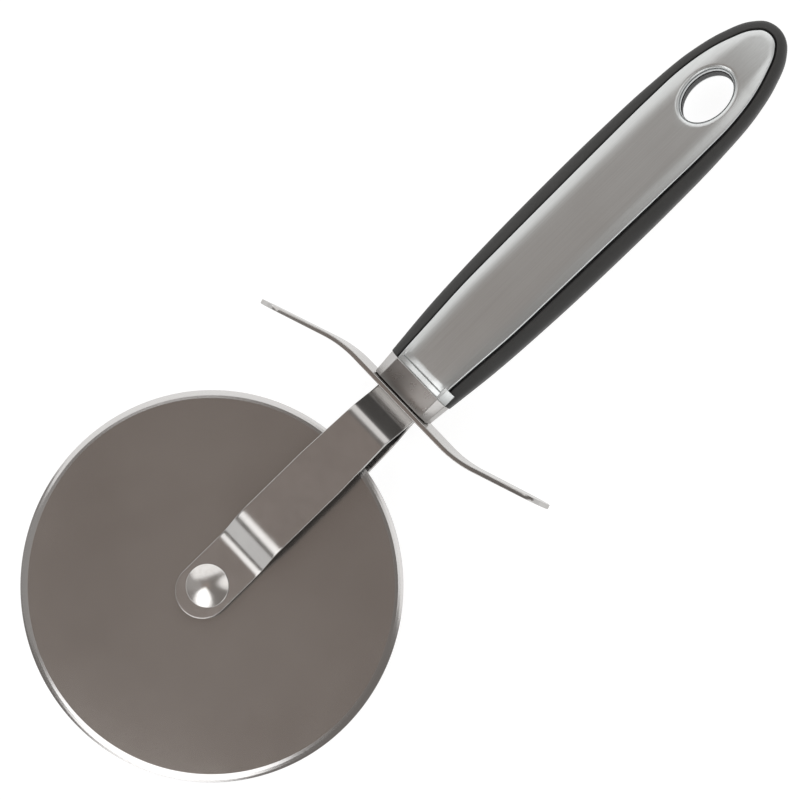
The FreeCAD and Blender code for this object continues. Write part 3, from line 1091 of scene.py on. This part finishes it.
edge_rings = 8
step_rings = 28
blend_rings = 44
inside_rings = 12
inside_drop = 1.5 * plate_skin
ear_length = 0.0034
ear_lift = 0.0005
plate_colour = (0.635, 0.655, 0.655, 1.0)
plate_line_colour = (0.575, 0.590, 0.588, 1.0)
plate_roughness = 0.31
plate_line_depth = 0.000006


def brushed_steel():
    """Steel brushed lengthwise: long fine lines in colour, gloss and height, with a few broader ones."""
    material, place = finish("plate_steel", {"Metallic": 1.0})
    fine = place.stretched((25.0, 3600.0, 3600.0)).noise(detail=3.0)
    broad = place.stretched((9.0, 800.0, 800.0)).noise()
    cloud = place.noise(45.0)
    lines = fine * 0.7 + broad * 0.3
    feed(material, Base_Color=lines.rise(0.25, 0.75).mix(plate_line_colour, plate_colour),
         Roughness=plate_roughness + (cloud - 0.5) * 0.06, Normal=lines.bump(plate_line_depth))
    return material


plate_edge_line = np.array([tuple(place) for place in plate_side(0.0)])
plate_edge_ways = np.diff(plate_edge_line, axis=0)


def edge_depth(x, y):
    """How far a place lies in from the plate's sides and tip."""
    away = (x, y) - plate_edge_line[:-1]
    shares = (away * plate_edge_ways).sum(axis=1) / (plate_edge_ways ** 2).sum(axis=1)
    nearest = away - plate_edge_ways * np.clip(shares, 0.0, 1.0)[:, None]
    return math.sqrt((nearest ** 2).sum(axis=1).min())


def soft_least(first, second, ease):
    """The lesser of two heights, with the corner between them rounded."""
    gap = max(ease - abs(first - second), 0.0) / ease
    return min(first, second) - gap * gap * ease / 4


def plate_height(x, y):
    """The plate's outside above the middle plane: crowned, rolled at the tip, stepped at the ferrule."""
    sweep = crown_sweep - math.sqrt(crown_sweep ** 2 - (x - crown_centre) ** 2)
    roll = max(x - roll_start, 0.0) ** 2 / (2 * roll_radius)
    share = 1 - (1 - crown_tip_share) * min(max((x - roll_start) / roll_length, 0.0), 1.0)
    fall = crown_fall * share * max(0.0, 1 - edge_depth(x, y) / (crown_band * share)) ** crown_power
    way = x - handle_start
    run_out = step_run_out * math.exp(-max(way - step_top_at, 0.0) / step_run_length)
    crown = crown_top - sweep - roll - fall - run_out
    if way > end_inset:
        return crown
    ledge = crown_top - step_ledge_drop - fall * (1 - step_flattening)
    crease = crown_top - step_crease_drop - fall * (1 - step_flattening)
    pressed = ledge + (crease - ledge) * way / step_crease_at
    if way > step_crease_at:
        pressed = crease + (crown - crease) * (way - step_crease_at) / (step_top_at - step_crease_at)
    groove = max(0.0, 1 - abs(way - step_crease_at) / step_crease_half)
    return soft_least(crown, pressed, step_ease) - step_crease_depth * groove


def evenly(line, count):
    """A line cut into steps, even half by their length and half by their turn round the hang hole."""
    hole = Vector((hole_centre, 0.0))
    lengths = np.array([(after - before).length for before, after in zip(line, line[1:])])
    turns = np.array([(before - hole).angle(after - hole) for before, after in zip(line, line[1:])])
    measure = np.concatenate(([0.0], np.cumsum(lengths / lengths.sum() + turns / turns.sum())))
    wanted = np.linspace(0.0, measure[-1], count)
    xs = np.interp(wanted, measure, [place.x for place in line])
    ys = np.interp(wanted, measure, [place.y for place in line])
    return [Vector((float(x), float(y))) for x, y in zip(xs, ys)]


def plate_ring(depth, end_depth):
    """The plate's outline moved in at its sides and end, from the ferrule round the tip and back."""
    end = handle_start + end_depth
    inside = [place for place in plate_side(-depth) if place.x > end]
    first, last = Vector((end, inside[0].y)), Vector((end, inside[-1].y))
    side = evenly([first] + inside + [last], 2 * side_points + 1)
    across = [last.lerp(first, step / end_points) for step in range(1, end_points)]
    return side + across


def hole_ring(around, growth):
    """The hang hole's oval, grown by a width, with a point towards each place of a ring."""
    ring = []
    for place in around:
        turn = math.atan2(place.y / hole_half_width, (place.x - hole_centre) / hole_half_length)
        east, north = math.cos(turn), math.sin(turn)
        edge = Vector((hole_centre + hole_half_length * east, hole_half_width * north))
        out = Vector((east / hole_half_length, north / hole_half_width)).normalized()
        ring.append(edge + out * growth)
    return ring


def edge_drop(depth, radius):
    """How far a rounded edge falls below the face, a given depth in from the wall."""
    left_over = max(radius - depth, 0.0)
    return radius - math.sqrt(radius ** 2 - left_over ** 2)


def side_depth(index, place, depth):
    """How far a place of a ring lies in from the plate's side: its depth, or more along the end."""
    if index <= 2 * side_points:
        return depth
    return max(plate_end_half - abs(place.y), depth)


def edge_ring(depth, end_depth):
    """A ring on the plate's outside, lower where its edge is rounded."""
    ring = []
    for index, place in enumerate(plate_ring(depth, end_depth)):
        drop = edge_drop(side_depth(index, place, depth), plate_edge)
        ring.append(Vector((*place, plate_height(*place) - drop)))
    return ring


def seated(places):
    """A ring on the plane where the plate sits."""
    return [Vector((place.x, place.y, plate_seat)) for place in places]


def under(places, drop):
    """A ring on the plate's outside or a drop below it."""
    return [Vector((*place, plate_height(*place) - drop)) for place in places]


def blended(ring, other, share):
    """A ring a share of the way from one ring to another."""
    return [place.lerp(target, share) for place, target in zip(ring, other)]


def plate_rings():
    """The plate's outside from skirt to hole, and its inside back again, as rings of (x, y, z)."""
    quarter = [math.pi / 2 * step / edge_rings for step in range(edge_rings + 1)]
    rounds = [plate_edge * (1 - math.cos(turn)) for turn in quarter]
    ends = list(np.linspace(plate_edge, end_inset, step_rings)[1:])
    ends += [step_crease_at + step_crease_half * side for side in (-1, -0.5, 0, 0.5, 1)]
    rings = [seated(plate_ring(0.0, 0.0))]
    rings += [edge_ring(depth, depth) for depth in rounds]
    for step, end in enumerate(sorted(ends), 1):
        rings.append(edge_ring(plate_edge + (side_inset - plate_edge) * step / len(ends), end))
    inner = [place.xy for place in rings[-1]]
    lip = hole_ring(inner, hole_lip)
    for step in range(1, blend_rings + 1):
        rings.append(under(blended(inner, lip, step / blend_rings), 0.0))
    for turn in quarter[1:]:
        growth = hole_lip * (1 - math.sin(turn))
        rings.append(under(hole_ring(inner, growth), edge_drop(growth, hole_lip)))
    rings.append(seated(rings[-1]))
    collar = hole_ring(inner, plate_skin)
    rings += [seated(collar), under(collar, hole_lip + plate_skin / 2)]
    skirt = plate_ring(plate_skin, plate_skin)
    for step in range(inside_rings + 1):
        rings.append(under(blended(skirt, lip, 1 - step / inside_rings), inside_drop))
    rings.append(seated(skirt))
    return rings


def ear_mesh():
    """The ear beside the plate's end, with the ferrule's shoulder carried along it."""
    shoulder = ferrule_crown - ferrule_arch
    low = Vector((-ferrule_wall + slot_clearance, plate_seat))
    wall_top = shoulder - ferrule_facet_slope * (-low.x - ferrule_shoulder)
    corners = [low, Vector((-plate_end_half + plate_skin, plate_seat)),
               Vector((-plate_end_half + plate_skin, shoulder - plate_skin / 2)),
               Vector((-ferrule_shoulder - strip_edge, shoulder - ferrule_facet_slope * strip_edge)),
               Vector((low.x, wall_top))]
    outline = rounded_polygon(corners, strip_edge / 2)
    rings = []
    for depth, height in rounded_levels(ear_length, strip_edge / 2):
        lift = Vector((0.0, ear_lift * height / ear_length))
        rings.append([Vector((handle_start + height, *(place + lift))) for place in inset(outline, depth)])
    return lofted("ear", rings, False)


def plate_mesh(name, rings, side):
    """The shell and its ear in one mesh, on one side of the middle plane."""
    work = bmesh.new()
    shell = lofted(name, rings, True)
    for mesh in (shell, ear_mesh()):
        work.from_mesh(mesh)
    for vertex in work.verts:
        vertex.co = axle + Vector((vertex.co.x, vertex.co.y, side * vertex.co.z))
    work.to_mesh(shell)
    work.free()
    return shell


plate_finish = brushed_steel()
shell_rings = plate_rings()
for name, side, node in (("handle_plate_front", 1, "front_plate"), ("handle_plate_rear", -1, "rear_plate")):
    plate = stand(name, plate_mesh(name, shell_rings, side), plate_finish)
    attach(plate, "frame")
    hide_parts(node)


# Floor and backdrop
# A white studio bowl: a level floor that rises in a curve to a low wall all round. It shows white to the
# camera and in the steel, and keeps the soft shadow of the cutter.
floor_radius = 1.6
wall_radius = 2.4
wall_height = 1.3
sweep_steps = 24
bowl_steps = 96
floor_colour = (0.24, 0.24, 0.24, 1.0)
floor_white = 0.90


def studio_white():
    """White to the camera and in reflections, and a grey paint that takes the shadow."""
    material = bpy.data.materials.new("studio_white")
    material.use_nodes = True
    tree = material.node_tree
    tree.nodes.clear()
    start = Signal(tree)
    rays = ("Is Camera Ray", "Is Glossy Ray", "Is Transmission Ray")
    camera_ray, glossy_ray, clear_ray = start.node("ShaderNodeLightPath", output=rays)
    shows = start.maths("MINIMUM", camera_ray + glossy_ray + clear_ray, 1.0)
    glow = start.node("ShaderNodeEmission", {"Strength": shows * floor_white})
    paint = start.node("ShaderNodeBsdfDiffuse", {"Color": floor_colour})
    both = start.node("ShaderNodeAddShader", {0: glow, 1: paint})
    end = tree.nodes.new("ShaderNodeOutputMaterial")
    tree.links.new(both.socket, end.inputs["Surface"])
    return material


bowl_bend = wall_radius - floor_radius
bowl_profile = [(wall_radius, wall_height)]
for step in range(sweep_steps + 1):
    turn = math.pi / 2 * step / sweep_steps
    bowl_profile.append((floor_radius + bowl_bend * math.cos(turn), bowl_bend * (1 - math.sin(turn))))
bowl_profile.append((0.0, 0.0))
bowl_section = [(radius, 0.0, height) for radius, height in bowl_profile]
bowl_values = {"Steps": bowl_steps, "Axis": Vector((0, 0, 0)), "Material": studio_white()}
bowl = grown("studio_bowl", turning, bowl_section, bowl_values)


# Lights
# Five softboxes in a dim room with a grey ceiling patch: a large one at the head of the table, and round
# ones at its near left, right, near right and left. A soft fill, which the steel doesn't show, hangs above.
table_turn = math.radians(46.2)
table_up = Vector((math.cos(table_turn), math.sin(table_turn), 0.0))
table_right = Vector((table_up.y, -table_up.x, 0.0))
room_colour = (0.225, 0.208, 0.196, 1.0)
ceiling_colour = (0.345, 0.295, 0.268, 1.0)
ceiling_place = (-12.0, 0.0)
ceiling_full = 7.0
ceiling_end = 20.0
softbox_distance = 1.0


def towards(right, up):
    """The way to a place over the table that leans by degrees to its right and up."""
    lean = table_right * math.tan(math.radians(right)) + table_up * math.tan(math.radians(up))
    return (lean + Vector((0, 0, 1))).normalized()


def softbox(name, lean, size, radiance, shape="ELLIPSE", roll=0.0):
    """An area lamp that leans right and up and faces the cutter, rolled about the way it faces."""
    data = bpy.data.lights.new(name, "AREA")
    data.shape = shape
    data.size, data.size_y = size
    area = size[0] * size[1] * (math.pi / 4 if shape == "ELLIPSE" else 1.0)
    data.energy = radiance * math.pi * area
    lamp = bpy.data.objects.new(name, data)
    away = towards(*lean)
    level = (table_right - away * away.dot(table_right)).normalized()
    turn = Matrix((level, away.cross(level), away)).transposed().to_4x4()
    spin = Matrix.Rotation(math.radians(roll), 4, "Z")
    lamp.matrix_world = Matrix.Translation(away * softbox_distance) @ turn @ spin
    bpy.context.scene.collection.objects.link(lamp)
    return lamp


softbox("head_softbox", lean=(-5.6, 46.3), size=(2.05, 0.91), radiance=0.95, shape="RECTANGLE", roll=8.0)
softbox("round_softbox", lean=(-24.5, -30.5), size=(0.60, 0.60), radiance=1.85)
softbox("side_softbox", lean=(29.0, 5.0), size=(0.56, 0.56), radiance=1.05)
softbox("low_softbox", lean=(42.0, -49.0), size=(0.45, 0.45), radiance=1.30)
softbox("left_softbox", lean=(-44.0, 0.0), size=(0.50, 0.50), radiance=0.18)
fill = softbox("fill_softbox", lean=(0.0, 0.0), size=(1.6, 1.6), radiance=0.25, shape="RECTANGLE")
fill.visible_glossy = False
room = bpy.data.worlds.new("room")
room.use_nodes = True
ray = Signal(room.node_tree).node("ShaderNodeTexCoord", output="Generated")
near = ray.vector("DOT_PRODUCT", towards(*ceiling_place), output="Value")
patch = near.rise(math.cos(math.radians(ceiling_end)), math.cos(math.radians(ceiling_full)))
room.node_tree.links.new(patch.mix(room_colour, ceiling_colour).socket,
                         room.node_tree.nodes["Background"].inputs["Color"])
bpy.context.scene.world = room


# Camera
# Above the cutter, about 0.76 m over the floor, with a long lens. It looks almost straight down, and the
# handle points to the upper right of the picture.
camera_place = Vector((0.053588, -0.108510, 0.760533))
camera_aim = Vector((-0.007461, 0.000017, 0.0105))
picture_up = math.radians(46.236)
camera_lens = 135.0
camera_sensor = 36.0
view = (camera_aim - camera_place).normalized()
picture_right = view.cross(Vector((math.cos(picture_up), math.sin(picture_up), 0.0))).normalized()
camera_data = bpy.data.cameras.new("camera")
camera_data.sensor_fit = "HORIZONTAL"
camera_data.sensor_width = camera_sensor
camera_data.lens = camera_lens
camera = bpy.data.objects.new("camera", camera_data)
camera_turn = Matrix((picture_right, picture_right.cross(view), -view)).transposed().to_4x4()
camera.matrix_world = Matrix.Translation(camera_place) @ camera_turn
bpy.context.scene.collection.objects.link(camera)
bpy.context.scene.camera = camera
bpy.context.scene.view_settings.view_transform = "Standard"

bpy.context.view_layer.update()
